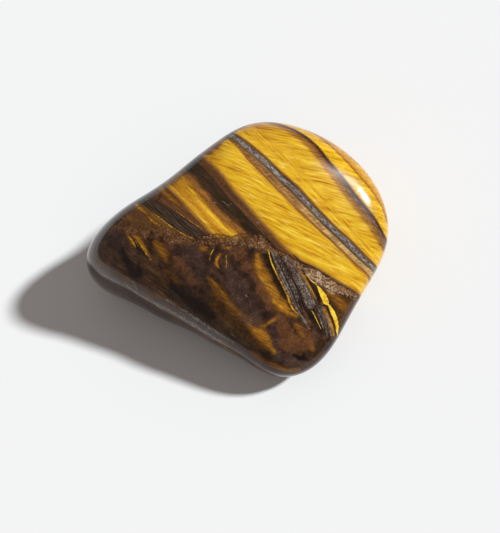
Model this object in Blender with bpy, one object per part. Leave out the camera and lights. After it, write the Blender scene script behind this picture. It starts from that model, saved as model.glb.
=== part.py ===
"""A tumbled tiger's eye pebble, about 21 mm long, lying on its flatter side.

The pebble is one solid, and a wedge: thick at its -X and +Y ends and thin towards +X and -Y.
Its girdle is an irregular rounded outline, seen from above. Over the girdle a sloping, nearly
flat top face turns down in a soft shoulder, roundest towards -X and -Y, and under it a
rounder belly is worn flat where the pebble rests.
"""
import math

import bmesh
import bpy
import numpy as np

MM = 0.001
TURN = 2 * math.pi

# --- driving dimensions, in millimetres and degrees --------------------------------------
# The girdle: how far it reaches from the middle of the pebble, by azimuth from +X.
GIRDLE = (
    (-177, 10.35), (-168, 10.55), (-156, 8.80), (-140, 7.35), (-120, 6.60), (-100, 6.90),
    (-84, 7.90), (-72, 9.25), (-62, 9.85), (-50, 9.80), (-34, 9.35), (-15, 9.60),
    (2, 10.50), (18, 10.60), (36, 10.00), (58, 9.10), (80, 8.10), (97, 6.85),
    (115, 6.10), (138, 6.05), (157, 7.10), (171, 8.80),
)
GIRDLE_HEIGHT = 2.95            # the widest level, at the middle
GIRDLE_SLOPE = (0.04, 0.12)     # rise of that level per millimetre of X and of Y
TOP_HEIGHT = 7.80               # the top face, at the middle
TOP_SLOPE = (-0.23, 0.30)       # the top face falls towards +X and -Y
# The shoulder, by azimuth: 2 is a round edge, and more is a flatter face with a tighter edge.
SHOULDER = (
    (-180, 2.27), (-135, 2.14), (-90, 2.76), (-45, 3.04),
    (0, 2.85), (45, 2.92), (90, 2.80), (135, 2.62),
)
BELLY = 2.4                     # the same measure for the underside
WORN = 0.10                     # how much of the underside is worn away to the flat

BLOCK_CUTS = 23                 # how finely each side of the block is cut before it is worn


def smooth_ring(stations):
    """A smooth closed curve through (degrees, value) stations, as a function of azimuth.

    Between stations it is a cubic, and its slope and bend run on through each station.
    """
    angle = np.radians([degrees for degrees, _ in stations])
    value = np.array([reading for _, reading in stations])
    gap = np.diff(np.append(angle, angle[0] + TURN))
    rise = np.diff(np.append(value, value[0])) / gap
    count = len(stations)
    balance = np.zeros((count, count))
    for i in range(count):
        balance[i, i - 1] += gap[i - 1]
        balance[i, i] += 2 * (gap[i - 1] + gap[i])
        balance[i, (i + 1) % count] += gap[i]
    bend = np.linalg.solve(balance, 6 * (rise - np.roll(rise, 1)))
    next_bend = np.roll(bend, -1)
    start = np.cumsum(gap) - gap

    def at(azimuth):
        turned = (azimuth - angle[0]) % TURN
        i = int(np.searchsorted(start, turned, side="right")) - 1
        step = turned - start[i]
        slope = rise[i] - gap[i] * (2 * bend[i] + next_bend[i]) / 6
        curl = (next_bend[i] - bend[i]) / gap[i]
        return value[i] + step * slope + step ** 2 * bend[i] / 2 + step ** 3 * curl / 6

    return at


girdle_reach = smooth_ring(GIRDLE)
shoulder_shape = smooth_ring(SHOULDER)


def pebble_point(direction):
    """Where the pebble's surface lies in a direction from its middle, in millimetres."""
    azimuth = math.atan2(direction.y, direction.x)
    across, up = math.hypot(direction.x, direction.y), direction.z
    shape = shoulder_shape(azimuth) if up > 0 else BELLY
    swell = (across ** shape + abs(up) ** shape) ** (-1 / shape)
    reach = swell * across * girdle_reach(azimuth)
    x, y = reach * math.cos(azimuth), reach * math.sin(azimuth)
    girdle = GIRDLE_HEIGHT + GIRDLE_SLOPE[0] * x + GIRDLE_SLOPE[1] * y
    top = TOP_HEIGHT + TOP_SLOPE[0] * x + TOP_SLOPE[1] * y
    thickness = top - girdle if up > 0 else girdle
    z = girdle + swell * up * thickness
    return x, y, max(z - WORN, 0.0)


def even_direction(corner):
    """The direction of a corner of the block's grid, spread evenly over the sphere."""
    for axis in range(3):
        corner[axis] = math.tan(corner[axis] * math.pi / 4)
    return corner.normalized()


def wear_block():
    """Cut a block into a grid, wear it down to the pebble and centre it on its flat."""
    mesh = bmesh.new()
    bmesh.ops.create_cube(mesh, size=2)
    bmesh.ops.subdivide_edges(mesh, edges=mesh.edges, cuts=BLOCK_CUTS, use_grid_fill=True)
    for vertex in mesh.verts:
        vertex.co = pebble_point(even_direction(vertex.co.copy()))
    reaches = np.array([vertex.co for vertex in mesh.verts])
    middle = (reaches.min(axis=0) + reaches.max(axis=0)) / 2
    for vertex in mesh.verts:
        vertex.co.x = (vertex.co.x - middle[0]) * MM
        vertex.co.y = (vertex.co.y - middle[1]) * MM
        vertex.co.z *= MM
    for face in mesh.faces:
        face.smooth = True
    return mesh


def polished_tigers_eye():
    """Golden brown under a high polish."""
    material = bpy.data.materials.new("polished_tigers_eye")
    material.use_nodes = True
    shader = material.node_tree.nodes["Principled BSDF"]
    shader.inputs["Base Color"].default_value = (0.36, 0.17, 0.03, 1.0)
    shader.inputs["Roughness"].default_value = 0.12
    shader.inputs["Metallic"].default_value = 0.0
    return material


def main():
    for leftover in list(bpy.data.objects):
        bpy.data.objects.remove(leftover, do_unlink=True)
    collection = bpy.data.collections.new("tumbled_tigers_eye")
    bpy.context.scene.collection.children.link(collection)
    worn = wear_block()
    stone = bpy.data.meshes.new("stone")
    worn.to_mesh(stone)
    worn.free()
    stone.materials.append(polished_tigers_eye())
    collection.objects.link(bpy.data.objects.new("stone", stone))


main()
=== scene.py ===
"""A tumbled tiger's eye stone on a pale floor: its polished surface, its lay of bands and its rough seam."""
import math

import bmesh
import bpy
import numpy as np
from mathutils import Matrix, Vector, noise
from mathutils.bvhtree import BVHTree


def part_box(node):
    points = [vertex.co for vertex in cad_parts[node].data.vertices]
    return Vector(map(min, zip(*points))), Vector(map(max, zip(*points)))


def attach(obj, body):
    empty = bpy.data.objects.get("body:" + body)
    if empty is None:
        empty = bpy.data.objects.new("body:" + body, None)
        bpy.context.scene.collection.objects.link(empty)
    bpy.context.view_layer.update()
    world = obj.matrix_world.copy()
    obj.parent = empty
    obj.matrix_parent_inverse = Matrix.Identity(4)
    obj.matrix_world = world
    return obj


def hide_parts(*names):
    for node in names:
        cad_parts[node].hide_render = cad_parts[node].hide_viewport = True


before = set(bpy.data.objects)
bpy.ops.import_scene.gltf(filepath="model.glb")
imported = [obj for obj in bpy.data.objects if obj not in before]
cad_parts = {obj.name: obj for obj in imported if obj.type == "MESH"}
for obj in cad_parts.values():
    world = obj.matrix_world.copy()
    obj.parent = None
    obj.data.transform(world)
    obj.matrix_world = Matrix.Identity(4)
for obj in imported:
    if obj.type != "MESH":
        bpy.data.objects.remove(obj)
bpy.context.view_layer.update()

MM = 0.001
TURN = 2 * math.pi

# === the camera, in millimetres from the middle of the stone's flat ========================
CAMERA_PLACE = Vector((13.218, -19.488, 68.413))
CAMERA_AHEAD = Vector((-0.17567, 0.26700, -0.94755))
CAMERA_UP = Vector((0.00108, 0.96257, 0.27103))
CAMERA_LENS = 67.54
SENSOR_WIDTH = 36
PICTURE_WIDTH, PICTURE_HEIGHT = 500, 533
FOCAL_LENGTH = CAMERA_LENS / SENSOR_WIDTH * PICTURE_HEIGHT      # in picture units
PICTURE_UNIT = 0.068            # what one picture unit spans on the stone, in millimetres
camera_right = CAMERA_AHEAD.cross(CAMERA_UP).normalized()
camera_up = camera_right.cross(CAMERA_AHEAD)

# === the stone's form, in millimetres and degrees, from the middle of its flat ===========
GIRDLE = (
    (-177, 10.35), (-168, 10.55), (-156, 8.80), (-140, 7.35), (-120, 6.60), (-100, 6.90),
    (-84, 7.90), (-72, 9.25), (-62, 9.85), (-50, 9.80), (-34, 9.35), (-15, 9.60),
    (2, 10.50), (18, 10.60), (36, 10.00), (58, 9.10), (80, 8.10), (97, 6.85),
    (115, 6.10), (138, 6.05), (157, 7.10), (171, 8.80),
)
GIRDLE_HEIGHT = 2.95
GIRDLE_SLOPE = (0.04, 0.12)
TOP_HEIGHT = 7.80
TOP_SLOPE = (-0.23, 0.30)
SHOULDER = (
    (-180, 2.27), (-135, 2.14), (-90, 2.76), (-45, 3.04),
    (0, 2.85), (45, 2.92), (90, 2.80), (135, 2.62),
)
BELLY = 2.4
WORN = 0.10
BLOCK_CUTS = 125                # cuts across each side of the block that the stone is worn from

# === the markings, where the camera sees them on the stone ================================
# All are chosen as x and y in the camera's picture of 500 by 533, from its top left.
# Band lines run from the stone's +Y end to its -Y side, and they follow each other from the
# rim at +X inwards. Bands stand upright in the stone, so they go on down its sides.
# The thin brown line by the rim: its outer and its inner edge.
LINE3_UPPER = (
    (321.2, 138.5), (332.7, 147.5), (344.1, 157.6), (355.6, 170.2),
    (366.5, 182), (375.5, 195), (383.2, 208), (387.5, 221),
)
LINE3_LOWER = (
    (307, 131.8), (319.2, 141), (330.7, 150), (342.1, 160.2), (353.6, 173),
    (364.2, 184.5), (373, 197), (380.8, 209.5), (385.5, 222.5),
)
# The second dark line: its sharp outer edge, and where its brown fades out.
LINE2_UPPER = (
    (286.7, 126.6), (297.5, 131.5), (307.8, 138), (318, 146.8), (328.3, 159.5),
    (338.5, 171), (347.3, 181.2), (357.3, 195), (367.3, 208), (376.3, 219.5), (382.6, 231),
    (386.3, 239),
)
LINE2_LOWER = (
    (262, 123), (278, 128.5), (291, 135), (300, 142), (309, 151), (318.5, 163), (328, 174.5),
    (337, 186), (346.5, 199.5), (357, 213), (366.5, 226), (375, 239), (381.5, 249),
)
# Where the fibres turn from running along the stripe to crossing it.
FIBRE_TURN = (
    (258, 132), (271.4, 144.2), (289.3, 163.4), (308.4, 183.8), (322.4, 199), (340, 217.5),
    (357, 235), (370, 248),
)
# The main dark stripe with its blue-grey heart, and the tan band beside it.
STRIPE_UPPER = (
    (243.5, 138), (255.8, 147.4), (269.9, 160.2), (282.6, 171.6), (298, 185.6), (315.8, 204.8),
    (336.2, 225.2), (354.1, 241.8), (368.1, 256),
)
STRIPE_LOWER = (
    (237, 143.3), (248.5, 153.2), (261.2, 163.4), (276.5, 177.4), (291.8, 192.7), (308.4, 209.3),
    (325, 225.9), (340.3, 241.2), (356.9, 256.9), (372.2, 271),
)
TAN_LOWER = (
    (238.3, 150.6), (251, 167.2), (266.3, 183.8), (281.6, 199.1), (296.9, 214.4), (312.2, 228.4),
    (327.6, 242.4), (341.6, 254.9), (356.9, 269.2), (366.5, 280),
)
# The inner edge of the broad gold band, and of the dark band after it.
GOLD_LOWER = (
    (207.7, 163.4), (216.6, 171), (224.2, 180), (233.2, 192.7), (243.4, 202.9), (254.8, 216.9),
    (263.8, 227.1), (272.7, 236.1), (281.6, 247), (291.8, 256.6), (300.8, 263.2), (310, 266),
    (320, 271.5), (330, 278.5), (341, 285.5), (352, 290),
)
DARK_LOWER = (
    (190.2, 177.1), (197.3, 185.3), (206.5, 196.5), (215.7, 207.8), (225.9, 218), (239.2, 229),
    (250, 238), (262, 249), (275, 262), (290, 275), (310, 290), (330, 303),
)
# Two gold streaks.
STREAK1_LOWER = (
    (184.5, 184), (194, 196), (204, 209), (214, 221), (223, 230.5), (233, 239), (245, 250),
    (260, 265), (275, 280),
)
STREAK2_UPPER = (
    (178, 188), (188, 197.5), (198, 208.5), (207.5, 219.5), (215.5, 229), (226, 241), (238, 254),
    (252, 270),
)
STREAK2_LOWER = (
    (168, 191.5), (175, 198), (184, 209), (192, 218.5), (200.5, 227), (210, 236), (222, 249),
    (235, 264),
)
# A charcoal slab, and the gold thread beyond it.
SLAB_UPPER = (
    (160, 203), (169.8, 209.8), (178, 214.4), (187.1, 220.5), (195.3, 226.5), (204, 232),
    (214, 241), (226, 255),
)
SLAB_LOWER = (
    (147, 208.5), (154.5, 214.5), (161.6, 219.8), (169.8, 226.8), (178, 232.2), (186.1, 237.3),
    (196, 243), (208, 253),
)
LEFT_GOLD = (
    (137, 208.5), (142.5, 215.5), (149, 222), (157.6, 227.5), (167.8, 231.5), (178, 237),
    (190, 246),
)
# The rough healed seam between the bands and the brown jasper: x, y and half width.
SEAM = (
    (118, 224, 2.6), (128, 226, 5.2), (137, 228, 6.6), (147, 230.5, 7.4), (157, 232.5, 7),
    (168, 234.5, 5.6), (178, 237, 4.2), (190, 239.5, 2.8), (203, 240, 3.8), (214, 240.5, 5.8),
    (224, 241.5, 5.4), (232, 241.5, 3.4), (241, 239.5, 4.6), (250, 240, 6.4), (260, 242.5, 7.4),
    (267, 246.5, 5), (274, 250, 2.6), (283, 256, 3.4), (290, 260.5, 4), (297, 264.5, 2.2),
    (306, 270.5, 3.4), (316, 275.5, 5.4), (326, 282, 5.6), (336, 288.5, 4.4), (346, 292.5, 3),
    (356, 295.5, 2),
)

# Patches of colour in the jasper and the dark bands. Each has its strength, and then a run of
# x, y and half width.
RUSSET = (
    (0.8, (237, 251, 5), (243, 258, 8), (246, 267, 7)),
    (1, (256, 276, 3), (260, 287, 4.5), (265, 298, 4.5), (270, 307, 3)),
    (1, (133, 212, 4), (141, 216, 5.5), (147, 220.5, 3)),
    (1.15, (281, 320, 4), (285, 331, 7), (290, 343, 8), (299, 350, 7)),
    (0.8, (299, 307.5, 1.6), (305, 313.5, 1.8), (310, 321.5, 2.2), (316.5, 329, 2.4)),
    (0.8, (270, 251, 2), (262, 252.5, 2)),
    (0.5, (108, 226, 5), (126, 229, 8), (148, 233, 9), (172, 238, 8), (192, 242, 6)),
    (0.7, (104, 244, 4), (106, 253, 5), (110, 262, 4)),
    (0.55, (176, 262, 6), (186, 276, 8), (196, 290, 7)),
    (0.8, (306, 330, 4), (309, 342, 5)),
)
UMBER = (
    (1, (230, 273, 5), (236, 286, 9), (243, 301, 11), (250, 314, 9), (256, 322, 5)),
    (1, (272, 328, 4), (273.5, 337, 5.5), (276, 346, 4)),
    (0.9, (115, 230, 3.5), (119, 240, 4.5), (123, 249, 4)),
    (0.8, (190, 252, 6), (198, 264, 8), (203, 276, 6)),
    (0.9, (281, 357, 5), (291, 361, 5), (301, 360, 4)),
)
OLIVE = (
    (0.9, (142, 266, 5), (153, 275, 8), (167, 281, 8), (176, 286, 5)),
    (1, (330, 296, 3.5), (338, 300, 5.5), (346, 303, 4.5)),
    (0.8, (336, 308, 3), (343, 313, 4)),
    (0.9, (214, 302, 7), (226, 314, 8), (238, 326, 8), (250, 338, 8), (261, 348, 6)),
    (1.1, (100, 240, 3.5), (102, 250, 5), (105, 259, 3.5)),
    (0.7, (166, 250, 3), (171, 260, 5), (172, 272, 5)),
    (0.9, (246, 347, 3), (258, 357, 4), (272, 366, 4), (286, 371, 4), (300, 370, 4)),
    (0.8, (352, 300, 4), (345, 313, 4), (338, 328, 4), (331, 342, 4), (322, 356, 4)),
)
AMBER = (
    (0.7, (257, 254, 2), (258.5, 263, 4.6), (262.5, 273.5, 6.6), (267.5, 284.5, 8.4),
     (273.5, 295, 8.6), (281, 304.5, 7.4), (288, 311, 4.6), (296, 315.5, 2.4)),
    (0.85, (258.5, 271, 1.2), (261, 278, 2.2), (264.5, 286, 2.8), (269, 295, 3.2),
     (275, 303, 3.2), (283, 309.5, 2.4), (290, 313, 1.6)),
    (0.42, (214, 283, 4), (220, 292, 6), (228, 302, 7), (237, 311, 8), (247, 319.5, 9)),
    (0.74, (240, 313, 3), (249, 321.5, 5), (257, 330, 6.6), (264, 338, 6.2), (270, 345, 4.6),
     (274.5, 352, 2.4)),
    (0.4, (208, 277, 3), (213, 283, 5), (216, 290, 4)),
    (0.8, (133.5, 235.5, 1.4), (139.5, 240.5, 2.4), (143.5, 247, 2.2), (147.5, 253.5, 1.7),
     (151, 259.5, 1)),
    (0.7, (127.5, 234, 1.2), (131, 240.5, 1.9), (135, 246.5, 1.1)),
    (0.58, (155, 242.5, 3), (159.5, 247.5, 6.4), (163.5, 254.5, 5.2), (166, 260, 3)),
    (0.6, (201, 248.5, 3), (206, 248.5, 2.2)),
    (0.85, (220.8, 254.8, 0.9), (217.4, 259, 1.6), (216.8, 263, 1.7), (219.2, 267.5, 0.9)),
    (0.6, (224, 247.2, 2.2), (230, 248.2, 1.6)),
    (0.8, (293.3, 262, 0.9), (299, 268.8, 1.5), (305, 278.8, 1.6), (311.7, 289.7, 1.5),
     (316.7, 298, 1)),
    (0.8, (321, 302.5, 1), (326, 313, 1.7), (331, 324.5, 1.7), (333.6, 334, 1.2)),
    (0.5, (297, 325, 3.5), (303, 333, 5.5), (309, 342, 4.5), (313, 349, 2.5)),
    (0.36, (284, 319, 2.5), (288, 330, 4), (293, 341, 4)),
    (0.62, (278.5, 316.6, 1.6), (273, 321, 2), (266, 325.5, 1.6), (259, 329, 1)),
    (0.5, (329, 293, 4), (337, 299, 6), (344, 307, 5)),
    (0.6, (160, 187, 2.5), (166, 193.5, 3.5), (173, 200, 2.6), (180, 206, 1.6)),
    (0.3, (232, 222, 1.6), (238, 220.5, 2.6), (245, 221.5, 1.8)),
    (0.3, (163, 268, 4), (170, 276, 5), (178, 282, 4)),
    (0.95, (135.5, 204.5, 1.4), (141, 210, 2.4), (146, 216, 2.2), (151, 221, 1.6),
     (158, 225.5, 1.1), (165, 229, 0.7)),
    (0.62, (212, 279, 1.5), (220, 290, 2.4), (229, 302, 2.8), (239, 313, 2.8), (248, 321, 3)),
    (0.5, (250, 351, 2), (262, 359, 2.5), (275, 366.5, 2.5), (288, 371.5, 2.5), (300, 370, 2)),
)
DUSK = (
    (1, (123, 250, 3), (126, 260, 6), (130, 270, 7), (138, 276, 6.5), (139, 266, 4)),
    (1, (170, 284, 3.5), (181, 294, 6), (193, 302, 7.5), (204, 311, 6.5), (213, 318, 3.5)),
    (0.62, (156, 283, 2), (176, 297, 4.5), (198, 312, 5), (218, 327, 5), (237, 341, 4.5),
     (251, 350, 2)),
)
BLACK = (
    (0.85, (264, 254, 2.2), (268.5, 261, 4), (273.5, 272, 4.4), (279, 283, 4.2),
     (284.5, 294, 3.4), (288.5, 303, 2.2), (294, 311, 1)),
    (0.9, (309.5, 311.5, 1.2), (313.5, 317.5, 2.6), (317.5, 324, 2), (319.5, 328, 0.8)),
    (0.35, (212, 200, 3), (216, 206, 5), (222, 212, 4)),
    (0.35, (238, 215, 2.5), (244, 222, 5), (250, 229, 4)),
    (1, (293, 357, 1.5), (299, 355.8, 3), (306, 356.5, 2)),
    (0.8, (159.8, 192.5, 0.8), (161, 196.5, 1.7), (160.2, 199.5, 0.8)),
    (0.7, (262, 352, 3), (271, 359, 3)),
    (0.9, (137, 243.5, 0.9), (140, 249, 1.2), (144, 255, 1), (147, 257.5, 1.2)),
    (0.7, (160.5, 264, 1.2), (164, 268, 1.4), (167.5, 271, 1)),
    (0.9, (318, 288, 1), (320.5, 294, 1.3), (322, 300, 1.1)),
    (0.8, (330, 339, 2), (326, 348, 3)),
)
SLABS = (
    (1, (273.5, 252.5, 1.6), (277.5, 262, 3.4), (283, 273.5, 4.6), (288.5, 285, 4.4),
     (292.5, 295, 3.4), (295.5, 304.5, 2.2), (300, 313, 1.6)),
    (1, (285, 259, 2.5), (291, 270, 4.6), (297.5, 281, 5.4), (304, 292, 5.4), (309, 302, 4.8),
     (310.5, 306, 3.4)),
    (0.8, (317.5, 308, 1.6), (321.5, 317, 2.8), (325.5, 327, 3), (327, 335, 2.2)),
    (0.8, (301.5, 315.5, 1.2), (305, 321.5, 1.5), (308.8, 328, 0.9)),
)

# Fine strokes, each a run of x, y and half width: bright gold threads, dark splits, the pale
# grey rims that line them, and the chalky scuffs and dust left on the polish.
GOLD_THREADS = (
    ((155, 214.4, 0.3), (161.6, 219.4, 0.41), (169.8, 226.1, 0.45), (178, 231.2, 0.49),
     (186.1, 236.3, 0.38), (192, 239, 0.22)),
    ((176, 212, 0.15), (187.1, 219, 0.3), (195.3, 225.1, 0.3), (201.4, 228.2, 0.15)),
    ((203.5, 155.3, 0.22), (208.7, 158.4, 0.45), (214, 163.5, 0.3)),
    ((214.4, 249, 0.22), (212, 252, 0.52), (210.3, 256, 0.41), (210, 259, 0.22)),
    ((226.6, 256.8, 0.15), (227.4, 262, 0.34), (226.8, 268, 0.19)),
    ((268.6, 251, 0.4), (269.8, 257, 0.6), (271.7, 263.5, 0.65), (276.7, 274.7, 0.65),
     (282.5, 285.5, 0.7), (286.5, 294, 0.8), (288.6, 300.5, 1), (290.6, 305.5, 0.9),
     (294, 310.2, 0.6), (299, 315, 0.4)),
    ((317.6, 286, 0.5), (320.5, 290.5, 1.9), (323.5, 296, 2.7), (326, 301.6, 2.6)),
    ((329.3, 305.4, 1), (332, 311.2, 2), (335.2, 318.5, 1.9), (337.2, 326, 1.5), (337.4, 333, 0.7)),
    ((312.6, 311.5, 0.3), (316.6, 319.6, 0.4), (320.6, 327.8, 0.25)),
    ((306.7, 274.9, 0.3), (311.5, 280.5, 0.4), (316.5, 284.4, 0.5)),
    ((128.5, 236, 0.22), (132, 240.5, 0.68), (135.5, 246, 0.3)),
    ((137.5, 241, 0.22), (142, 246.5, 0.75), (147, 254.5, 0.38)),
)
CRACKS = (
    ((272.9, 251.5, 0.3), (278.6, 262.5, 0.7), (284.5, 275, 0.8), (290.3, 287, 0.8),
     (294.6, 298, 0.8), (297.6, 307, 0.7), (303, 316, 0.4)),
    ((278, 252.6, 0.5), (284.3, 263.5, 0.9), (291, 276, 1.1), (296.6, 286.5, 1.2),
     (300.4, 297, 1.3), (303.5, 306, 1.2), (309, 316, 0.9), (315, 326, 0.7), (318, 333, 0.4)),
    ((301, 267.5, 0.5), (306.5, 275.5, 1.2), (312.8, 287, 1.5), (317.8, 297.5, 1.3),
     (321.5, 306, 0.8)),
    ((323.5, 304.8, 0.9), (329, 304.4, 0.9), (331, 301.6, 0.4)),
    ((294.5, 255.8, 0.7), (300, 261.8, 1.2), (306.7, 264.4, 0.9), (313.3, 266.8, 0.6),
     (325.8, 275.8, 0.45), (338.3, 284.2, 0.4), (349, 289.4, 0.3)),
    ((155, 213, 0.4), (162.4, 219.8, 0.7), (170.6, 227, 0.7), (178, 232.2, 0.4)),
    ((137, 207.6, 0.3), (143, 213.8, 0.5), (148.8, 219.6, 0.4)),
    ((327.2, 308.5, 0.5), (331.5, 317.5, 0.9), (335.2, 328, 0.7), (335.6, 334, 0.3)),
    ((316.4, 306, 0.4), (321.4, 318, 0.6), (325.2, 330, 0.5)),
    ((306, 307.5, 0.6), (310, 309.6, 0.7), (314.3, 308, 0.5)),
)
GREY_RIMS = (
    ((271.2, 251.4, 0.4), (274.6, 259.6, 0.6), (279, 268.8, 0.6), (284.6, 279.5, 0.7),
     (289.4, 289.5, 0.7), (292.6, 298.5, 0.7), (295, 305.5, 0.7), (300, 313.5, 0.9)),
    ((275.6, 254, 0.5), (281.7, 265.8, 0.6), (288.3, 279, 0.7), (293.3, 290.6, 0.7),
     (296.8, 298.5, 0.6)),
    ((290.5, 259, 0.5), (298.6, 272.5, 0.9), (306, 283.6, 1.1), (311.3, 293.8, 1.1),
     (314, 303.5, 1), (312, 308.6, 0.8), (306.4, 308, 0.6)),
    ((283, 268, 0.4), (290.2, 278.4, 0.5), (297, 289.5, 0.6), (302.4, 300.5, 0.6),
     (304.6, 307, 0.5)),
    ((320.4, 303, 0.6), (325.6, 313.5, 1), (329.4, 325, 0.9), (331, 335, 0.6)),
    ((316, 304.5, 0.5), (319.4, 311.5, 0.7), (323.4, 322.5, 0.6)),
    ((301.9, 315.6, 0.7), (305, 321.3, 1.2), (309, 328, 0.5)),
    ((231, 246, 0.3), (229.5, 251, 0.4)),
    ((230.6, 332.8, 0.25), (234.6, 336, 0.35), (238.6, 339, 0.2)),
)
SCUFFS = (
    ((129.5, 279.3, 0.5), (133.5, 280.4, 0.7), (136.5, 283.6, 0.8), (138, 288, 0.8),
     (138.4, 293.6, 0.6)),
    ((126, 281, 0.4), (130, 286, 0.6), (136, 291, 0.8), (144, 296.5, 0.9), (153, 301, 1),
     (162, 306.5, 1)),
    ((166, 298.5, 0.5), (171, 300.6, 0.8), (175.6, 304.6, 0.8), (173, 302.2, 0.5)),
    ((158, 302, 0.5), (168, 308, 0.9), (178, 313.6, 1.3), (188, 320, 1.6), (198, 326.6, 1.7),
     (208, 333, 1.6), (218, 339.6, 1.3), (226, 344.4, 0.8)),
    ((178, 306, 0.5), (187, 311, 0.9), (196, 317, 1.2), (206, 324, 1.2), (216, 331, 1.1),
     (226, 337.6, 0.8), (234, 342.5, 0.5)),
    ((230.7, 203.4, 0.3), (231.2, 203.6, 0.3)),
    ((257.9, 222.6, 0.4), (258.4, 222.8, 0.4)),
    ((245.8, 295.2, 0.45), (246.4, 295.4, 0.45)),
    ((223, 201.6, 0.2), (225.6, 203.2, 0.25), (228, 205, 0.2)),
    ((215.6, 203, 0.25), (216.1, 203.2, 0.25)),
)

BAND_EDGES = (
    LINE3_UPPER, LINE3_LOWER, LINE2_UPPER, LINE2_LOWER, FIBRE_TURN, STRIPE_UPPER, STRIPE_LOWER,
    TAN_LOWER, GOLD_LOWER, DARK_LOWER, STREAK1_LOWER, STREAK2_UPPER, STREAK2_LOWER, SLAB_UPPER,
    SLAB_LOWER, LEFT_GOLD,
)
BEARING = math.radians(-42)     # the way the bands run, turned from +X
RIM_BAND = 3.0                  # width given to the open bands at either end of the row
NARROWEST = 0.03
LINE_REACH = 17.0               # half the length that each line is drawn out to
LINE_STEP = 0.05
LINE_EASE = 13                  # steps over which a line's corners are eased

CROSSING_OUTER = math.radians(34)   # turn of the silk fibres from the bands, outside the stripe
CROSSING_INNER = math.radians(20)   # and inside it
STRIPE_HEART = 6.5                  # band number in the middle of the dark stripe

# === relief, in millimetres ===============================================================
SEAM_SINK = 0.05
SEAM_GRAIN = 0.035
SPLIT_SINK = 0.05
SWELL = 0.02                    # slow rise and fall that tumbling leaves in the polish
# A low worn ridge squares the shoulder at -X -Y, and a shallow hollow flattens it at +X +Y:
# how far each spreads, and then its x, y, z and height.
WEAR = (
    (0.8, (-8.3, -2.5, 5.9, 0.10), (-7.0, -3.1, 5.4, 0.20), (-5.0, -4.0, 5.0, 0.15),
     (-3.0, -5.2, 4.4, 0.13), (-1.0, -6.4, 4.0, 0.10), (1.2, -7.6, 3.6, 0.0)),
    (1.3, (6.0, 4.8, 7.2, 0.05), (7.3, 3.6, 6.6, -0.07), (8.3, 2.6, 6.0, -0.13),
     (9.5, 0.5, 5.0, 0.0)),
)

# === tones, as 8-bit red, green and blue in full light ====================================
FULL_LIGHT = 0.85
SKY_GLARE = (0.0109, 0.0093, 0.0086)    # what the polish mirrors of the sky, taken off each tone
GOLD = (215, 165, 40)
HONEY = (200, 145, 45)
RUST = (180, 120, 35)
RIM_TAN = (210, 175, 110)
TAN = (155, 115, 70)
TOFFEE = (145, 95, 45)
BROWN = (95, 63, 40)
CHARCOAL = (62, 46, 34)
SLATE = (102, 84, 72)
# Band number, tone, and how much of it is silky gold fibre. Numbers are the edges in order.
BAND_TONES = (
    (0.00, RIM_TAN, 0.1), (0.90, HONEY, 0.1), (1.10, TOFFEE, 0.0), (1.25, TOFFEE, 0.0),
    (1.50, HONEY, 0.2), (1.75, GOLD, 0.3), (2.80, GOLD, 0.3), (2.96, TOFFEE, 0.0),
    (3.04, CHARCOAL, 0.0), (3.14, CHARCOAL, 0.0), (3.25, BROWN, 0.0), (3.50, TOFFEE, 0.0),
    (3.85, TOFFEE, 0.2), (4.05, HONEY, 0.6), (4.25, GOLD, 1.0), (4.96, GOLD, 1.0),
    (5.02, HONEY, 0.3), (5.30, GOLD, 0.8), (5.50, GOLD, 1.0), (5.88, GOLD, 1.0),
    (6.04, TOFFEE, 0.1), (6.20, BROWN, 0.0), (6.40, SLATE, 0.0), (6.80, SLATE, 0.0),
    (7.00, BROWN, 0.0), (7.15, TAN, 0.0), (7.40, TAN, 0.0), (7.60, TOFFEE, 0.0),
    (7.74, TOFFEE, 0.0), (7.88, HONEY, 0.6), (7.98, GOLD, 1.0), (8.78, GOLD, 1.0),
    (8.93, TOFFEE, 0.1), (9.02, BROWN, 0.0), (9.25, BROWN, 0.0), (9.45, CHARCOAL, 0.0),
    (9.75, CHARCOAL, 0.0), (9.88, BROWN, 0.0), (9.98, TOFFEE, 0.0), (10.35, TOFFEE, 0.0),
    (10.60, RUST, 0.2), (10.85, GOLD, 0.6), (11.05, HONEY, 0.2), (11.60, RUST, 0.1),
    (12.15, RUST, 0.2), (12.40, HONEY, 0.5), (12.65, TOFFEE, 0.1), (12.90, BROWN, 0.0),
    (13.80, BROWN, 0.0), (14.02, CHARCOAL, 0.0), (14.90, CHARCOAL, 0.0), (15.10, BROWN, 0.1),
    (17.00, BROWN, 0.0),
)
TONE_JOINS = (0.0, 5.5, 9.3, 17.0)      # the band numbers where one ramp hands over to the next

SILK_TONES = (
    (0.30, (166, 104, 24)), (0.41, (202, 146, 32)), (0.50, (220, 170, 40)),
    (0.59, (231, 188, 52)), (0.72, (246, 216, 92)),
)
HAIR_TONE = (150, 92, 34)
GLINT_TONE = (250, 226, 130)
JASPER_TONES = (
    (0.30, (34, 26, 22)), (0.44, (54, 39, 31)), (0.54, (74, 52, 40)), (0.66, (96, 66, 44)),
)
RUSSET_TONES = ((0.34, (68, 43, 30)), (0.50, (96, 61, 40)), (0.66, (122, 81, 52)))
UMBER_TONES = ((0.36, (52, 38, 34)), (0.50, (72, 53, 45)), (0.62, (92, 72, 63)), (0.70, (128, 112, 103)))
OLIVE_TONES = ((0.32, (48, 32, 18)), (0.50, (72, 48, 24)), (0.68, (100, 68, 30)))
AMBER_TONES = (
    (0.05, (60, 40, 25)), (0.45, (110, 70, 30)), (0.85, (175, 120, 35)), (1.00, (205, 150, 45)),
)
WEATHERED_TONES = ((0.00, (115, 75, 40)), (0.45, TAN), (1.00, RIM_TAN))
RUST_TONES = ((0.34, (128, 70, 24)), (0.50, (176, 108, 30)), (0.66, (214, 158, 46)))
BLACK_TONE = (29, 25, 23)
GLOOM_TONE = (48, 38, 26)
HATCH_TONE = (206, 178, 150)
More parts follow.
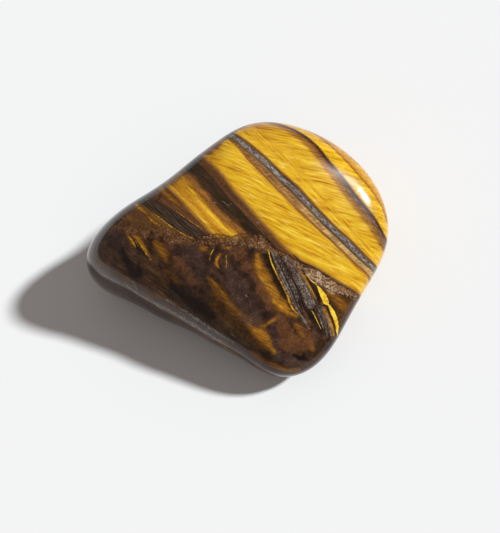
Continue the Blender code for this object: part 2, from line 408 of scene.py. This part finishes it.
OUTLINE_TONE = (50, 34, 27)
FRINGE_TONES = ((0.36, (58, 42, 36)), (0.50, (104, 76, 58)), (0.64, (146, 124, 100)))
SEAM_TONES = (
    (0.32, (50, 35, 27)), (0.43, (78, 52, 35)), (0.52, (110, 76, 50)),
    (0.61, (144, 110, 78)), (0.72, (188, 164, 132)),
)
HEART_TONES = (
    (0.32, (62, 49, 45)), (0.43, (92, 80, 72)), (0.53, (128, 120, 110)), (0.68, (180, 184, 176)),
)
SLAB_TONES = ((0.36, (44, 31, 27)), (0.47, (72, 54, 46)), (0.56, (108, 91, 80)), (0.67, (150, 140, 128)))
RIB_TONES = ((0.38, (38, 28, 24)), (0.48, (64, 49, 39)), (0.57, (84, 68, 56)), (0.66, (112, 98, 86)))
SPLIT_TONES = ((0.36, (30, 22, 20)), (0.62, (52, 36, 28)))
RIM_TONES = ((0.38, (78, 64, 54)), (0.50, (102, 92, 82)), (0.62, (130, 128, 120)))
THREAD_TONES = ((0.34, (150, 90, 32)), (0.50, (228, 176, 46)), (0.64, (250, 216, 72)))
SCUFF_TONES = ((0.38, (104, 96, 86)), (0.50, (132, 128, 118)), (0.62, (168, 170, 160)))
# The flanks' brown, running up to pale tones for the painted reflection in their streaks.
FLANK_AND_REFLECTION_TONES = ((0.34, (48, 34, 28)), (0.45, (84, 58, 44)), (0.55, (122, 90, 66)), (0.66, (164, 132, 104)))


# === the stone's form ======================================================================
def smooth_ring(stations):
    """A smooth closed curve through (degrees, value) stations, as a function of azimuth."""
    start = np.radians([angle for angle, _ in stations])
    value = np.array([level for _, level in stations])
    count = len(stations)
    gap = np.append(start[1:], start[0] + TURN) - start
    rise = (np.roll(value, -1) - value) / gap
    balance = np.zeros((count, count))
    for i in range(count):
        balance[i, i - 1] += gap[i - 1]
        balance[i, i] += 2 * (gap[i - 1] + gap[i])
        balance[i, (i + 1) % count] += gap[i]
    bend = np.linalg.solve(balance, 6 * (rise - np.roll(rise, 1)))
    next_bend = np.roll(bend, -1)

    def at(azimuth):
        turned = start[0] + (azimuth - start[0]) % TURN
        i = np.searchsorted(start, turned, side="right") - 1
        step = turned - start[i]
        slope = rise[i] - gap[i] * (2 * bend[i] + next_bend[i]) / 6
        curl = (next_bend[i] - bend[i]) / gap[i]
        return value[i] + step * slope + step**2 * bend[i] / 2 + step**3 * curl / 6

    return at


girdle_reach = smooth_ring(GIRDLE)
shoulder_shape = smooth_ring(SHOULDER)


def pebble(direction):
    """The stone's surface in millimetres along each of these unit directions."""
    azimuth = np.arctan2(direction[:, 1], direction[:, 0])
    across = np.hypot(direction[:, 0], direction[:, 1])
    up = direction[:, 2]
    shape = np.where(up > 0, shoulder_shape(azimuth), BELLY)
    swell = (across**shape + np.abs(up) ** shape) ** (-1 / shape)
    reach = swell * across * girdle_reach(azimuth)
    x, y = reach * np.cos(azimuth), reach * np.sin(azimuth)
    girdle = GIRDLE_HEIGHT + GIRDLE_SLOPE[0] * x + GIRDLE_SLOPE[1] * y
    top = top_height(x, y)
    thickness = np.where(up > 0, top - girdle, girdle)
    z = girdle + swell * up * thickness
    return np.column_stack((x, y, np.maximum(z - WORN, 0)))


def top_height(x, y):
    """Height of the plane that the worn top face lies along."""
    return TOP_HEIGHT + TOP_SLOPE[0] * x + TOP_SLOPE[1] * y


def block():
    """A cube cut into an even grid, to wear into the stone."""
    cube = bmesh.new()
    bmesh.ops.create_cube(cube, size=2)
    bmesh.ops.subdivide_edges(cube, edges=cube.edges[:], cuts=BLOCK_CUTS, use_grid_fill=True)
    mesh = bpy.data.meshes.new("polished_stone")
    cube.to_mesh(mesh)
    cube.free()
    return mesh


def vectors(points, kind="co"):
    """The coordinates of a mesh's vertices or vertex normals as rows of three."""
    row = np.empty(len(points) * 3)
    points.foreach_get(kind, row)
    return row.reshape(-1, 3)


# === where everything lies on it ===========================================================
def seen_at(x, y):
    """The plan place on the stone that the camera sees at this point of its picture."""
    aside, rise = x - PICTURE_WIDTH / 2, PICTURE_HEIGHT / 2 - y
    ray = CAMERA_AHEAD * FOCAL_LENGTH + camera_right * aside + camera_up * rise
    place, _, _, _ = skin.ray_cast(eye, ray.normalized())
    return place


def placed(run):
    """A run of picture points as plan points, each with its half width if it has one."""
    laid = []
    for x, y, *half in run:
        place = seen_at(x, y)
        laid.append((place.x, place.y, *(width * PICTURE_UNIT for width in half)))
    return laid


def lay_of(plan):
    """Plan points as distances across the bands, from +X inwards, and along them."""
    along = np.array((math.cos(BEARING), math.sin(BEARING)))
    across = np.array((along[1], -along[0]))
    return plan @ across, plan @ along


def edge_across(edge, along):
    """How far across the bands an edge lies, at these places along them."""
    point_across, point_along = lay_of(np.array(edge))
    station = np.arange(-LINE_REACH, LINE_REACH, LINE_STEP)
    offset = np.interp(station, point_along, point_across)
    for end, inner in ((0, 2), (-1, -3)):
        slope = (point_across[end] - point_across[inner]) / (point_along[end] - point_along[inner])
        past = station < point_along[0] if end == 0 else station > point_along[-1]
        offset[past] = point_across[end] + slope * (station[past] - point_along[end])
    eased = np.convolve(np.pad(offset, LINE_EASE // 2, mode="edge"),
                        np.full(LINE_EASE, 1 / LINE_EASE), mode="valid")
    return np.interp(along, station, eased)


def band_number(across, along):
    """The number of edges passed on the way in from the rim, with a fraction between edges."""
    edges = [edge_across(placed(edge), along) for edge in BAND_EDGES]
    edges = [edges[0] - RIM_BAND] + edges + [edges[-1] + RIM_BAND]
    number = np.zeros(len(across))
    outer = edges[0]
    for inner in edges[1:]:
        inner = np.maximum(inner, outer + NARROWEST)
        number += np.clip((across - outer) / (inner - outer), 0, 1)
        outer = inner
    return number


def along_run(plan, run):
    """For each leg of a run: distance to it, the side it is passed on, and its half width."""
    for start, end in zip(run, run[1:]):
        origin, leg = np.array(start[:2]), np.subtract(end[:2], start[:2])
        away = plan - origin
        share = np.clip(away @ leg / (leg @ leg), 0, 1)
        distance = np.linalg.norm(away - share[:, None] * leg, axis=1)
        side = np.sign(leg[0] * away[:, 1] - leg[1] * away[:, 0])
        yield distance, side, start[2] + share * (end[2] - start[2])


THREAD_FADE = 0.10
FAR = 9.0


def strokes(plan, runs):
    """Signed distance to the line of the nearest stroke, and the half width to draw there."""
    offset, width = np.full(len(plan), FAR), np.full(len(plan), -FAR)
    cover = np.full(len(plan), -FAR)
    for run in runs:
        for distance, side, half in along_run(plan, placed(run)):
            nearer = half - distance > cover
            cover[nearer] = (half - distance)[nearer]
            offset[nearer] = (side * distance)[nearer]
            spare = np.maximum(distance - half - THREAD_FADE, 0)
            width[nearer] = (half - spare)[nearer]
    return offset, np.maximum(width, -1)


def patches(plan, runs, soft=False):
    """How strongly these patches lie over each point, from 0 to 1: half as much at their half width."""
    cover = np.zeros(len(plan))
    for strength, *run in runs:
        for distance, _, half in along_run(plan, placed(run)):
            away = distance / half
            here = np.exp(-0.7 * away**2) if soft else np.clip(1.5 - away, 0, 1)
            cover = np.maximum(cover, strength * here)
    return cover


def below_seam(plan):
    """Distance past the seam's middle line, on the jasper side of it."""
    seam = np.array(placed(SEAM))
    return np.interp(plan[:, 0], seam[:, 0], seam[:, 1]) - plan[:, 1]


def wander(points, pace, reach):
    """A gentle seeded drift of each point, in steps of one over the pace."""
    drift = [noise.noise_vector(Vector(point) * pace) for point in points]
    return np.array(drift)[:, :2] * reach


def wear(points):
    """How far the low ridge and the hollow lift each point."""
    lift = np.zeros(len(points))
    for spread, *run in WEAR:
        nearest = np.full(len(points), FAR)
        height = np.zeros(len(points))
        for start, end in zip(run, run[1:]):
            origin, leg = np.array(start[:3]), np.subtract(end[:3], start[:3])
            share = np.clip((points - origin) @ leg / (leg @ leg), 0, 1)
            away = np.linalg.norm(points - origin - share[:, None] * leg, axis=1)
            nearer = away < nearest
            nearest[nearer] = away[nearer]
            height[nearer] = (start[3] + share * (end[3] - start[3]))[nearer]
        lift += height * np.exp(-((nearest / spread) ** 2) / 2)
    return lift


def ease(value, low, high):
    """0 below low, 1 above high, and a soft step from one to the other."""
    share = np.clip((value - low) / (high - low), 0, 1)
    return share**2 * (3 - 2 * share)


# === making the stone ======================================================================
# Painted sheen and shade on the silk: the way it faces where it is painted brightest, the range from painted shade
# to painted light, and the painted shade on the -Y side.
PAINTED_LIGHT_FACING = (0.9, -0.1, 0.42)
PAINTED_SHADE_TO_LIGHT = (-0.14, 0.16)
PAINTED_SIDE_SHADE = (0.45, 0.75)
WANDER_PACE = 0.55
WANDER_REACH = 0.06
SIDE_DRIFT = 0.22               # how far bands wander for each millimetre below the top
SIDE_LIMIT = 3.0

mesh = block()
corner = np.tan(vectors(mesh.vertices) * math.pi / 4)
surface = pebble(corner / np.linalg.norm(corner, axis=1)[:, None])
skin = BVHTree.FromPolygons(surface.tolist(), [tuple(face.vertices) for face in mesh.polygons])
middle = (surface.min(axis=0) + surface.max(axis=0)) / 2
eye = CAMERA_PLACE + Vector((middle[0], middle[1], 0))
depth = np.maximum(top_height(surface[:, 0], surface[:, 1]) - surface[:, 2], 0)
drift = wander(surface, WANDER_PACE, 1.0)
plan = surface[:, :2] + drift * (WANDER_REACH + SIDE_DRIFT * np.clip(depth - 1.5, 0, SIDE_LIMIT))[:, None]
ragged_plan = plan + wander(surface, 1.7, 0.22) + wander(surface, 4.5, 0.12)
across, along = lay_of(plan)
number = band_number(across, along)

crossing_turn = np.where(number < STRIPE_HEART, CROSSING_OUTER, CROSSING_INNER)
silk_across = across * np.cos(crossing_turn) + along * np.sin(crossing_turn)
silk_along = along * np.cos(crossing_turn) - across * np.sin(crossing_turn)
crosses = np.clip(np.minimum((number - 4.9) / -0.2, 1), 0, 1) + np.clip(np.minimum((number - 7.95) * 8, (9.05 - number) * 8), 0, 1)

thread_offset, thread_width = strokes(plan, GOLD_THREADS)
split_offset, split_width = strokes(plan, CRACKS)
rim_offset, rim_width = strokes(plan, GREY_RIMS)
scuff_offset, scuff_width = strokes(surface[:, :2], SCUFFS)
seam_offset, seam_width = strokes(plan, (SEAM,))
seam_cover = seam_width - np.abs(seam_offset)

low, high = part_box("stone")
low, high = np.array(low), np.array(high)


def set_points(mesh, points):
    mesh.vertices.foreach_set("co", points.ravel())
    mesh.update()


def into_box(points):
    """Points scaled to fill the CAD stone's own box."""
    start, end = points.min(axis=0), points.max(axis=0)
    return low + (points - start) * (high - low) / (end - start)


set_points(mesh, into_box(surface))
mesh.polygons.foreach_set("use_smooth", np.ones(len(mesh.polygons), dtype=bool))
normal = vectors(mesh.vertex_normals, "vector")
set_points(mesh, into_box(surface + normal * wear(surface)[:, None]))
normal = vectors(mesh.vertex_normals, "vector")
grain = np.array([noise.noise(Vector(point) * 5.5) for point in surface])
swell = np.array([noise.noise(Vector(point) * 0.35) for point in surface])
in_seam = np.clip(seam_cover / 0.08 + 0.5, 0, 1)
in_split = np.clip((split_width - np.abs(split_offset)) / 0.05 + 0.5, 0, 1)
sink = in_seam * (SEAM_SINK + SEAM_GRAIN * grain) + in_split * SPLIT_SINK + SWELL * (1 + swell)
set_points(mesh, into_box(vectors(mesh.vertices) - normal * sink[:, None] * MM))

# Painted sheen and shade: the silk is painted bright where it faces +X and up, toward the light, and darker on
# sides turned away and on the -Y side.
light_facing = normal @ np.array(PAINTED_LIGHT_FACING)
painted_silk_light = ease(light_facing, *PAINTED_SHADE_TO_LIGHT) * (1 - 0.5 * ease(-normal[:, 1], *PAINTED_SIDE_SHADE))
fields = {
    "place": surface,
    "lay": np.column_stack((across, along, depth)),
    "silk": np.column_stack((silk_across, silk_along, crosses)),
    "bands": np.column_stack((number, below_seam(plan), seam_cover)),
    "threads": np.column_stack((thread_offset, thread_width, depth)),
    "splits": np.column_stack((split_offset, split_width, depth)),
    "split_rims": np.column_stack((rim_offset, rim_width, depth)),
    "scuffs": np.column_stack((scuff_offset, np.where(normal[:, 2] > 0, scuff_width, -1), depth)),
    "patches": np.column_stack((patches(plan, AMBER, True), patches(ragged_plan, BLACK), patches(plan, SLABS))),
    "tints": np.column_stack([patches(ragged_plan, runs, True) for runs in (RUSSET, UMBER, OLIVE)]),
    "faces": np.column_stack((painted_silk_light, normal[:, 2], patches(ragged_plan, DUSK, True))),
}
for name, rows in fields.items():
    mesh.attributes.new(name, "FLOAT_VECTOR", "POINT").data.foreach_set("vector", rows.astype(np.float32).ravel())

stone = bpy.data.objects.new("polished_stone", mesh)
bpy.context.scene.collection.objects.link(stone)


# === shading tools =========================================================================
def tone(colour):
    """The base colour that shows as this 8-bit tone in the scene's full light."""
    linear = [((level / 255 + 0.055) / 1.055) ** 2.4 for level in colour]
    return tuple(FULL_LIGHT * max(part - glare, 0) for part, glare in zip(linear, SKY_GLARE)) + (1.0,)


class Shade:
    """A value or colour in a finish. Sums and products of values add the nodes they need."""

    def __init__(self, finish, socket):
        self.finish = finish
        self.socket = socket

    def maths(self, operation, left, right=0.0):
        return self.finish.node("ShaderNodeMath", {"operation": operation}, {0: left, 1: right})

    def __add__(self, other):
        return self.maths("ADD", self, other)

    def __sub__(self, other):
        return self.maths("SUBTRACT", self, other)

    def __rsub__(self, other):
        return self.maths("SUBTRACT", other, self)

    def __mul__(self, other):
        return self.maths("MULTIPLY", self, other)

    __radd__ = __add__
    __rmul__ = __mul__

    def __abs__(self):
        return self.maths("ABSOLUTE", self)


class Finish:
    """A material with one Principled surface, and the nodes that feed it."""

    def __init__(self, name):
        self.material = bpy.data.materials.new(name)
        self.material.use_nodes = True
        self.tree = self.material.node_tree
        self.surface = self.tree.nodes["Principled BSDF"]

    def node(self, kind, settings=None, values=None, output=0):
        """A node with its settings and ramp stops made first, then its values and links."""
        made = self.tree.nodes.new(kind)
        for setting, value in (settings or {}).items():
            if setting == "stops":
                ramp = made.color_ramp
                while len(ramp.elements) < len(value):
                    ramp.elements.new(1.0)
                for stop, (position, colour) in zip(ramp.elements, value):
                    stop.position, stop.color = position, colour
            else:
                setattr(made, setting, value)
        for socket, value in (values or {}).items():
            self.feed(made.inputs[socket], value)
        return Shade(self, made.outputs[output])

    def feed(self, socket, value):
        if isinstance(value, Shade):
            self.tree.links.new(value.socket, socket)
        else:
            socket.default_value = value

    def field(self, name):
        """A vector laid down on the mesh."""
        return self.node("ShaderNodeAttribute", {"attribute_name": name}, output="Vector")

    def parts(self, vector):
        """The three numbers of a vector."""
        return [self.node("ShaderNodeSeparateXYZ", values={0: vector}, output=axis) for axis in range(3)]

    def vector(self, x, y, z):
        return self.node("ShaderNodeCombineXYZ", values={0: x, 1: y, 2: z})

    def grain(self, vector, scale=1.0, detail=2.0, roughness=0.5):
        """Cloudy noise, between about 0.25 and 0.75."""
        values = {"Vector": vector, "Scale": scale, "Detail": detail, "Roughness": roughness}
        return self.node("ShaderNodeTexNoise", values=values)

    def between(self, value, low, high):
        """0 below low, 1 above high, and a soft step from one to the other."""
        settings = {"interpolation_type": "SMOOTHSTEP"}
        return self.node("ShaderNodeMapRange", settings, {0: value, 1: low, 2: high, 3: 0.0, 4: 1.0})

    def ramp(self, value, stops):
        settings = {"stops": [(place, tone(colour)) for place, colour in stops]}
        return self.node("ShaderNodeValToRGB", settings, {0: value})

    def mix(self, under, over, share):
        """One colour laid over another, by its share."""
        return self.node("ShaderNodeMix", {"data_type": "RGBA"}, {0: share, 6: under, 7: over}, output=2)

    def shaded(self, colour, level):
        """A colour made lighter or darker."""
        return self.node("ShaderNodeVectorMath", {"operation": "SCALE"}, {0: colour, "Scale": level})


# === the stone's finish ====================================================================
COAT = 0.58                     # share of the gloss that is mirror-sharp
SLAB_TURN = math.radians(-21)   # the striped slabs' turn from the bands


def polish(finish):
    place = finish.field("place")
    across, along, depth = finish.parts(finish.field("lay"))
    silk_across, silk_along, crosses = finish.parts(finish.field("silk"))
    number, past_seam, seam_cover = finish.parts(finish.field("bands"))
    amber, black, slab = finish.parts(finish.field("patches"))
    russet, umber, olive = finish.parts(finish.field("tints"))
    painted_silk_light, upward, dusk = finish.parts(finish.field("faces"))
    east, north, _ = finish.parts(place)

    # Fine fibres, run along the bands or across them, in loose bundles.
    sway = finish.grain(place, scale=0.5, detail=1.0) * 2.4
    straight = finish.grain(finish.vector(across * 9.0 + sway, along * 0.6, depth), roughness=0.6)
    crossed = finish.grain(finish.vector(silk_across * 9.0 + sway, silk_along * 0.6, depth), roughness=0.6)
    bundles = finish.grain(finish.vector(silk_across * 2.6 + sway, silk_along * 0.35, depth), detail=1.0)
    fibre = (straight + (crossed - straight) * crosses) * 0.7 + bundles * 0.3
    fine = finish.grain(place, scale=7.0, detail=3.0, roughness=0.6)
    mottle = finish.grain(place, scale=1.1, detail=6.0, roughness=0.65)

    # The bands, each a tone or gold silk, with their edges frayed by the fibres.
    frayed = number + (fibre - 0.5) * 0.26
    banded, silky = None, None
    for start, end in zip(TONE_JOINS, TONE_JOINS[1:]):
        reach = end - start
        stops = [
            ((at - start) / reach, tone(colour)[:3] + (silk,))
            for at, colour, silk in BAND_TONES if start <= at <= end
        ]
        within = (frayed - start) * (1 / reach)
        here = finish.node("ShaderNodeValToRGB", {"stops": stops}, {0: within})
        silk_here = Shade(finish, here.socket.node.outputs["Alpha"])
        if banded is None:
            banded, silky = here, silk_here
        else:
            past = finish.node("ShaderNodeMath", {"operation": "GREATER_THAN"}, {0: frayed, 1: start})
            banded = finish.mix(banded, here, past)
            silky = silky + (silk_here - silky) * past
    banded = finish.shaded(banded, fibre * 2.4 + fine * 1.6 - 1.0)
    banded = finish.mix(banded, finish.ramp(fibre, SILK_TONES), silky)
    hairs = finish.grain(finish.vector(silk_across * 13.0, silk_along * 1.3, depth + 20.0), roughness=0.5)
    banded = finish.mix(banded, tone(HAIR_TONE), finish.between(hairs, 0.60, 0.72) * silky * 0.4)
    banded = finish.mix(banded, tone(GLINT_TONE), finish.between(hairs, 0.40, 0.28) * silky * 0.5)

    # The blue-grey heart of the dark stripe is all specks, drawn out along it.
    heart = finish.between(frayed, 6.32, 6.50) - finish.between(frayed, 6.66, 6.96)
    specks = finish.grain(finish.vector(across * 16.0, along * 3.0, depth * 6.0), detail=3.0, roughness=0.7)
    glints = specks + (bundles - 0.5) * 0.25 + (fine - 0.5) * 0.3
    banded = finish.mix(banded, finish.ramp(glints, HEART_TONES), heart)
    clouds = finish.grain(finish.vector(across * 1.6, along * 0.7, depth), detail=4.0)
    gloom = finish.between(number, 9.2, 9.5) - finish.between(number, 9.75, 10.0)
    banded = finish.mix(banded, tone(GLOOM_TONE), finish.between(clouds, 0.42, 0.62) * gloom * 0.8)
    ribs = finish.grain(finish.vector(across * 10.0, along * 0.8, depth + 5.0), detail=3.0, roughness=0.6)
    ribbed = finish.between(frayed, 14.03, 14.12) - finish.between(frayed, 14.78, 14.94)
    banded = finish.mix(banded, finish.ramp(ribs, RIB_TONES), ribbed * 0.65)
    weathered = finish.between(number, 6.98, 7.2) - finish.between(number, 7.4, 7.62)
    pale = finish.between(along, -5.0, 7.0) * 0.7 + (straight - 0.5) * 1.0 + (hairs - 0.5) * 1.0 + 0.05
    banded = finish.mix(banded, finish.ramp(pale, WEATHERED_TONES), weathered)
    scratches = finish.grain(finish.vector(across * 4.5 + along * 10.0, across - along * 0.4, depth), detail=3.0)
    scored = finish.between(scratches, 0.46, 0.34) * 0.4 - finish.between(scratches, 0.52, 0.64) * 0.4
    banded = finish.shaded(banded, scored * weathered + 1)
    outside = finish.between(number, 6.0, 5.4)
    # Rust orange towards the bands' +Y ends, and painted shade in rust orange where the silk turns away from the
    # light.
    rust_and_painted_shade = finish.between(along, 0.5, -3.5) * outside * 0.65 + finish.between(painted_silk_light, 0.9, 0.3) * 0.4
    rust_and_painted_shade = rust_and_painted_shade + finish.between(along, -2.8, -3.9) * finish.between(number, 8.1, 8.5) * 0.8
    banded = finish.mix(banded, finish.ramp(fibre, RUST_TONES), rust_and_painted_shade * silky)
    banded = finish.shaded(banded, 1 - finish.between(along, 3.0, -7.0) * outside * 0.14)
    banded = finish.shaded(banded, finish.between(number, 4.2, 5.4) * 0.1 + 0.9)
    fringe = finish.between(number, 3.1, 3.2) - finish.between(number, 3.4, 3.7)
    speckled = fringe * finish.between(along, 1.0, 4.5)
    banded = finish.mix(banded, finish.ramp(specks, FRINGE_TONES), speckled * 0.6)
    # Painted shade: the bands darken where the silk turns away from the light.
    banded = finish.shaded(banded, finish.between(painted_silk_light + (fibre - 0.5) * 1.5, 0.1, 0.9) * 0.66 + 0.34)

    # Brown jasper beyond the seam: olive and fibrous amber glow in it, and russet and umber
    # patches with frayed edges lie over them.
    jasper = finish.ramp(mottle, JASPER_TONES)
    jasper = finish.mix(jasper, finish.ramp(mottle * 0.4 + fine * 0.6, OLIVE_TONES), olive)
    jasper = finish.shaded(jasper, fine * 1.4 + 0.3)
    past = finish.between(past_seam + (fine - 0.5) * 0.3, -0.05, 0.05)
    colour = finish.mix(banded, jasper, past)
    combed = finish.grain(finish.vector(silk_across * 11.0, silk_along * 1.6, depth), roughness=0.6)
    lit = amber * (combed * 1.8 + 0.1) + (fine - 0.5) * 0.25 + (mottle - 0.5) * 0.3
    colour = finish.mix(colour, finish.ramp(lit, AMBER_TONES), finish.between(lit, 0.05, 0.45))
    ragged = (mottle - 0.5) * 1.2 + (fine - 0.5) * 0.5
    for patch, tones in ((russet, RUSSET_TONES), (umber, UMBER_TONES)):
        cover = finish.between(patch + ragged, 0.25, 0.75)
        colour = finish.mix(colour, finish.ramp(mottle * 0.55 + fine * 0.45, tones), cover * 0.85)

    # The flanks of the jasper are brown, with painted reflection in pale streaks round the stone and painted shade
    # further down.
    streaks = finish.grain(finish.vector(east * 0.6, north * 0.6, depth * 9.0), detail=3.0, roughness=0.7)
    flank = finish.between(upward, 0.86, 0.60) * finish.between(east, 4.0, 0.0) * past * (1 - amber)
    # Painted shade: the flanks darken further below the top.
    painted_shade_below = finish.between(depth, 2.6, 4.6) * 0.12
    colour = finish.mix(colour, finish.ramp(streaks * 0.8 + mottle * 0.2 - painted_shade_below, FLANK_AND_REFLECTION_TONES), flank * 0.8)
    brushed = finish.between(streaks, 0.42, 0.60) * flank
    dusky = finish.between(dusk + (mottle - 0.5) * 0.5, 0.08, 1.2)
    colour = finish.mix(colour, tone(BLACK_TONE), dusky * 0.95)
    colour = finish.mix(colour, tone(BLACK_TONE), finish.between(black + ragged * 0.8, 0.0, 1.05) * 0.95)

    # The seam's crumbs, paler towards +X.
    crumbs = finish.grain(place, scale=9.0, roughness=0.6) * 0.7 + finish.grain(place, scale=4.0, detail=3.0) * 0.3
    paler = finish.between(east, -7.0, 3.0) * 0.05 + finish.between(east, 4.2, 5.4) * 0.08 - 0.05
    seam = finish.between(seam_cover + (crumbs - 0.5) * 0.6 + (mottle - 0.5) * 0.8, -0.12, 0.12)
    seam = seam * (finish.between(east, -6.0, -1.0) * 0.32 + 0.6)
    colour = finish.mix(colour, finish.ramp(crumbs * 0.85 + mottle * 0.55 + paler - 0.2, SEAM_TONES), seam)
    lathes = finish.grain(finish.vector(east * 3.4, north * 1.6, depth), detail=1.0)
    crossing = finish.grain(finish.vector(east * 1.6, north * 3.4, depth + 9.0), detail=1.0)
    hatch = finish.between(abs(lathes - 0.5), 0.035, 0.01) + finish.between(abs(crossing - 0.5), 0.035, 0.01)
    wedge = finish.between(east, 4.4, 5.2) * (1 - finish.between(east, 6.6, 7.6)) * seam
    colour = finish.mix(colour, tone(HATCH_TONE), finish.between(hatch, 0.0, 1.0) * wedge * 0.7)
    outline = finish.between(abs(seam_cover + (crumbs - 0.5) * 0.4), 0.09, 0.02)
    colour = finish.mix(colour, tone(OUTLINE_TONE), outline * finish.between(east, -4.0, 0.0) * 0.6)

    # The striped slabs, and the splits with their pale rims and gold threads.
    slab_along = along * math.cos(SLAB_TURN) - across * math.sin(SLAB_TURN)
    rim_side, _, _ = finish.parts(finish.field("split_rims"))
    striped = finish.grain(finish.vector(rim_side * 7.0, slab_along * 0.5, depth), detail=3.0, roughness=0.6)
    slabbed = finish.between(slab + (crumbs - 0.5) * 0.5, 0.35, 0.65)
    colour = finish.mix(colour, finish.ramp(striped * 0.6 + crumbs * 0.7 - 0.15, SLAB_TONES), slabbed)
    patchy = finish.grain(place, scale=3.0, detail=1.0)
    yellower = finish.between(east, 4.6, 5.8) * 0.16 - 0.09
    for name, tones, hold, breaks, level in (
        ("split_rims", RIM_TONES, 0.85, 0.6, fine * 0.5 + patchy * 0.5),
        ("splits", SPLIT_TONES, 0.9, 0.0, fine),
        ("threads", THREAD_TONES, 0.95, 0.0, fine * 0.5 + patchy * 0.5 + yellower),
        ("scuffs", SCUFF_TONES, 0.95, 0.3, fine),
    ):
        offset, width, _ = finish.parts(finish.field(name))
        stroke = finish.between(width - abs(offset) + (fine - 0.5) * 0.06, -0.02, 0.03)
        if breaks:
            stroke = stroke * (1 - finish.between(patchy, 0.58, 0.44) * breaks)
        colour = finish.mix(colour, finish.ramp(level, tones), stroke * hold)
    scuffed = stroke

    finish.feed(finish.surface.inputs["Base Color"], colour)
    finish.feed(finish.surface.inputs["Roughness"], seam * 0.2 + 0.24)
    hazed = finish.between(north, 2.7, 3.35) * finish.between(east, 5.5, 6.8) * finish.between(upward, 0.7, 0.82)
    worn = (1 - seam * 0.5) * (1 - scuffed * 0.5) * (1 - brushed * 0.5) * (1 - hazed)
    finish.feed(finish.surface.inputs["Coat Weight"], worn * (finish.between(east, -6.5, -8.5) * 0.36 + COAT))
    finish.feed(finish.surface.inputs["Coat Roughness"], 0.08)
    finish.feed(finish.surface.inputs["Coat IOR"], 1.54)
    finish.feed(finish.surface.inputs["Specular IOR Level"], 0.055)


finish = Finish("polished_tigers_eye")
polish(finish)
mesh.materials.append(finish.material)
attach(stone, "root")
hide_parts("stone")

# === floor, light and camera ===============================================================
FLOOR_HALF = 2.0
KEY_AZIMUTH = math.radians(19.2)
KEY_HEIGHT = math.radians(36.4)
KEY_ANGLE = math.radians(5.0)
KEY_STRENGTH = 4.73
KEY_TONE = (0.97, 1.0, 1.02)
SKY_TONE = (0.264, 0.242, 0.231, 1.0)

floor_mesh = bpy.data.meshes.new("floor")
floor_mesh.from_pydata(
    [(-FLOOR_HALF, -FLOOR_HALF, 0), (FLOOR_HALF, -FLOOR_HALF, 0), (FLOOR_HALF, FLOOR_HALF, 0), (-FLOOR_HALF, FLOOR_HALF, 0)],
    [], [(0, 1, 2, 3)],
)
floor = bpy.data.objects.new("floor", floor_mesh)
bpy.context.scene.collection.objects.link(floor)
paper = Finish("pale_floor")
paper.feed(paper.surface.inputs["Base Color"], (0.80, 0.80, 0.80, 1.0))
paper.feed(paper.surface.inputs["Roughness"], 0.9)
paper.feed(paper.surface.inputs["Specular IOR Level"], 0.1)
floor_mesh.materials.append(paper.material)

key = bpy.data.lights.new("key", "SUN")
key.energy = KEY_STRENGTH
key.color = KEY_TONE
key.angle = KEY_ANGLE
key_light = bpy.data.objects.new("key", key)
toward = Vector((math.cos(KEY_HEIGHT) * math.cos(KEY_AZIMUTH), math.cos(KEY_HEIGHT) * math.sin(KEY_AZIMUTH), math.sin(KEY_HEIGHT)))
key_light.rotation_euler = toward.to_track_quat("Z", "Y").to_euler()
bpy.context.scene.collection.objects.link(key_light)

world = bpy.data.worlds.new("studio")
world.use_nodes = True
world.node_tree.nodes["Background"].inputs["Color"].default_value = SKY_TONE
bpy.context.scene.world = world
bpy.context.scene.view_settings.view_transform = "Standard"

camera_data = bpy.data.cameras.new("camera")
camera_data.lens = CAMERA_LENS
camera_data.sensor_width = SENSOR_WIDTH
camera = bpy.data.objects.new("camera", camera_data)
turn = Matrix((camera_right, camera_up, -CAMERA_AHEAD)).transposed().to_4x4()
camera.matrix_world = Matrix.Translation(CAMERA_PLACE * MM) @ turn
camera_data.clip_start = 0.001
bpy.context.scene.collection.objects.link(camera)
bpy.context.scene.camera = camera
